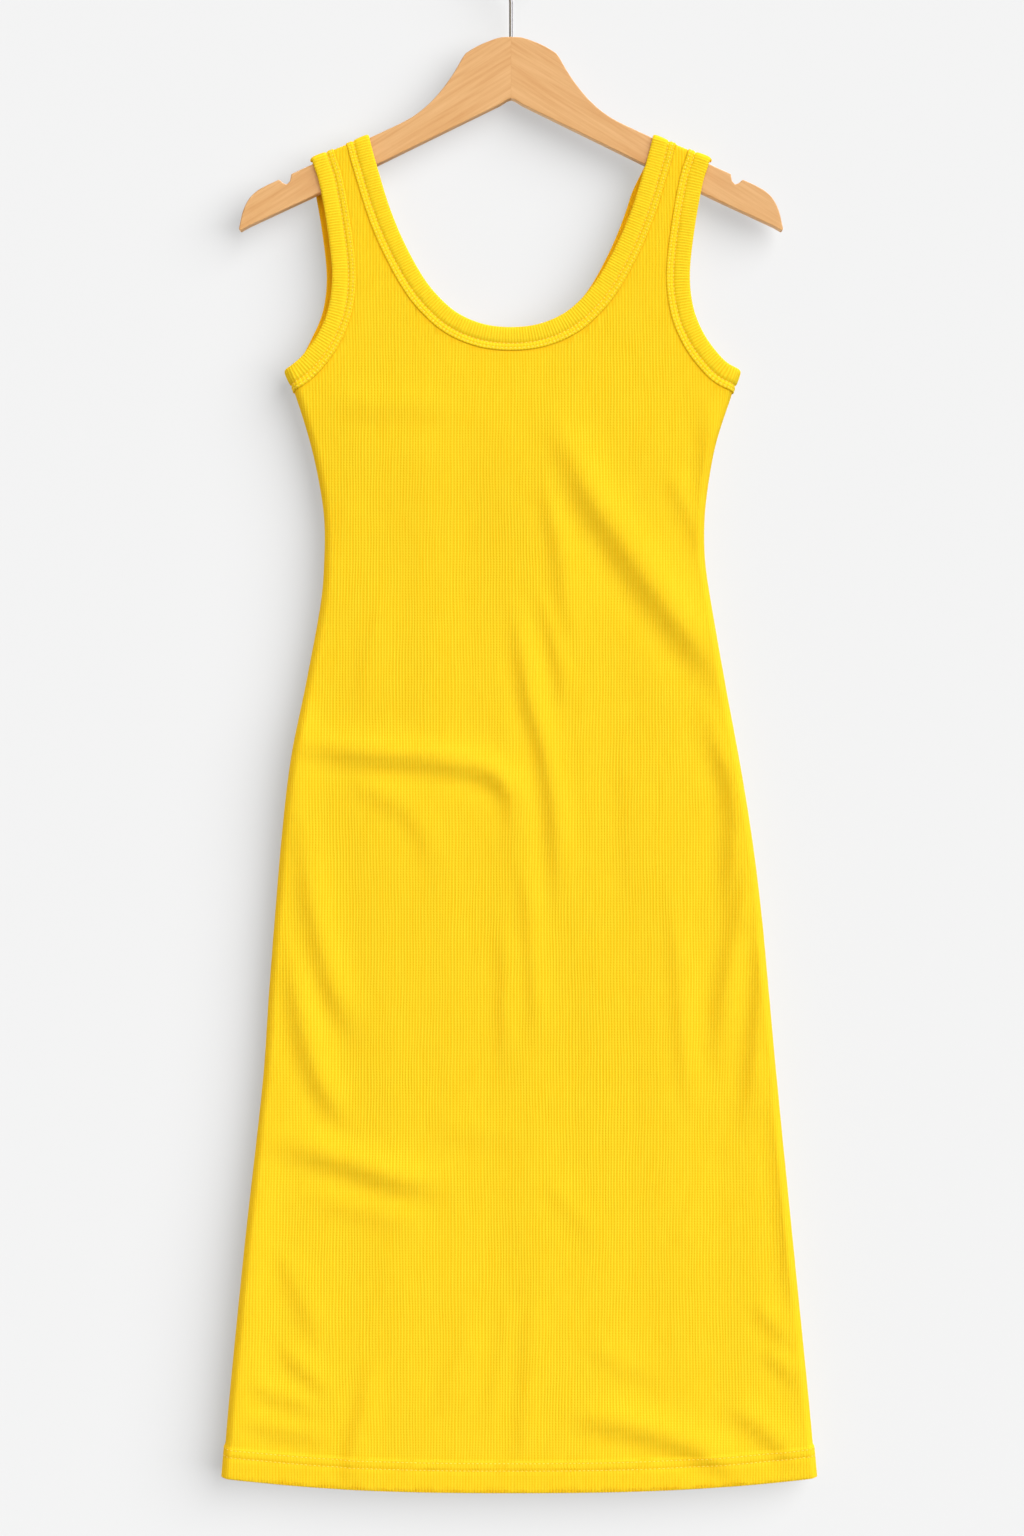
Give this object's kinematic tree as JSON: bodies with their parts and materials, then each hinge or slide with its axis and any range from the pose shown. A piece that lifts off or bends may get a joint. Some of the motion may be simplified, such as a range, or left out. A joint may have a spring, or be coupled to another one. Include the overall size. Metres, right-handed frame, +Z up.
{
  "type": "ribbed dress on a hanger",
  "caption": "Long sleeveless rib-knit tank dress with a scooped neck, bound edges and a stitched hem, hanging flat from a notched wooden hanger with a wire hook.",
  "frame": {"origin": "inside of the hook's top, where a rail carries the hanger", "axes": "+Z up along the hook's shank, -Y out of the front of the dress, +X to the right as seen from the front"},
  "size_m": [0.4864, 0.0328, 1.2637],
  "materials": {
    "rib_knit": "soft matte rib knit in bright yellow",
    "rib_band": "folded rib band in bright yellow, ribs across its width",
    "wood": "pale satin lacquered beech",
    "steel": "bright drawn wire"
  },
  "bodies": {
    "root": {"front_panel": "rib_knit", "back_panel": "rib_knit", "neck_binding": "rib_band", "armhole_binding_left": "rib_band", "armhole_binding_right": "rib_band", "hanger_body": "wood", "hanger_hook": "steel"}
  },
  "joints": []
}
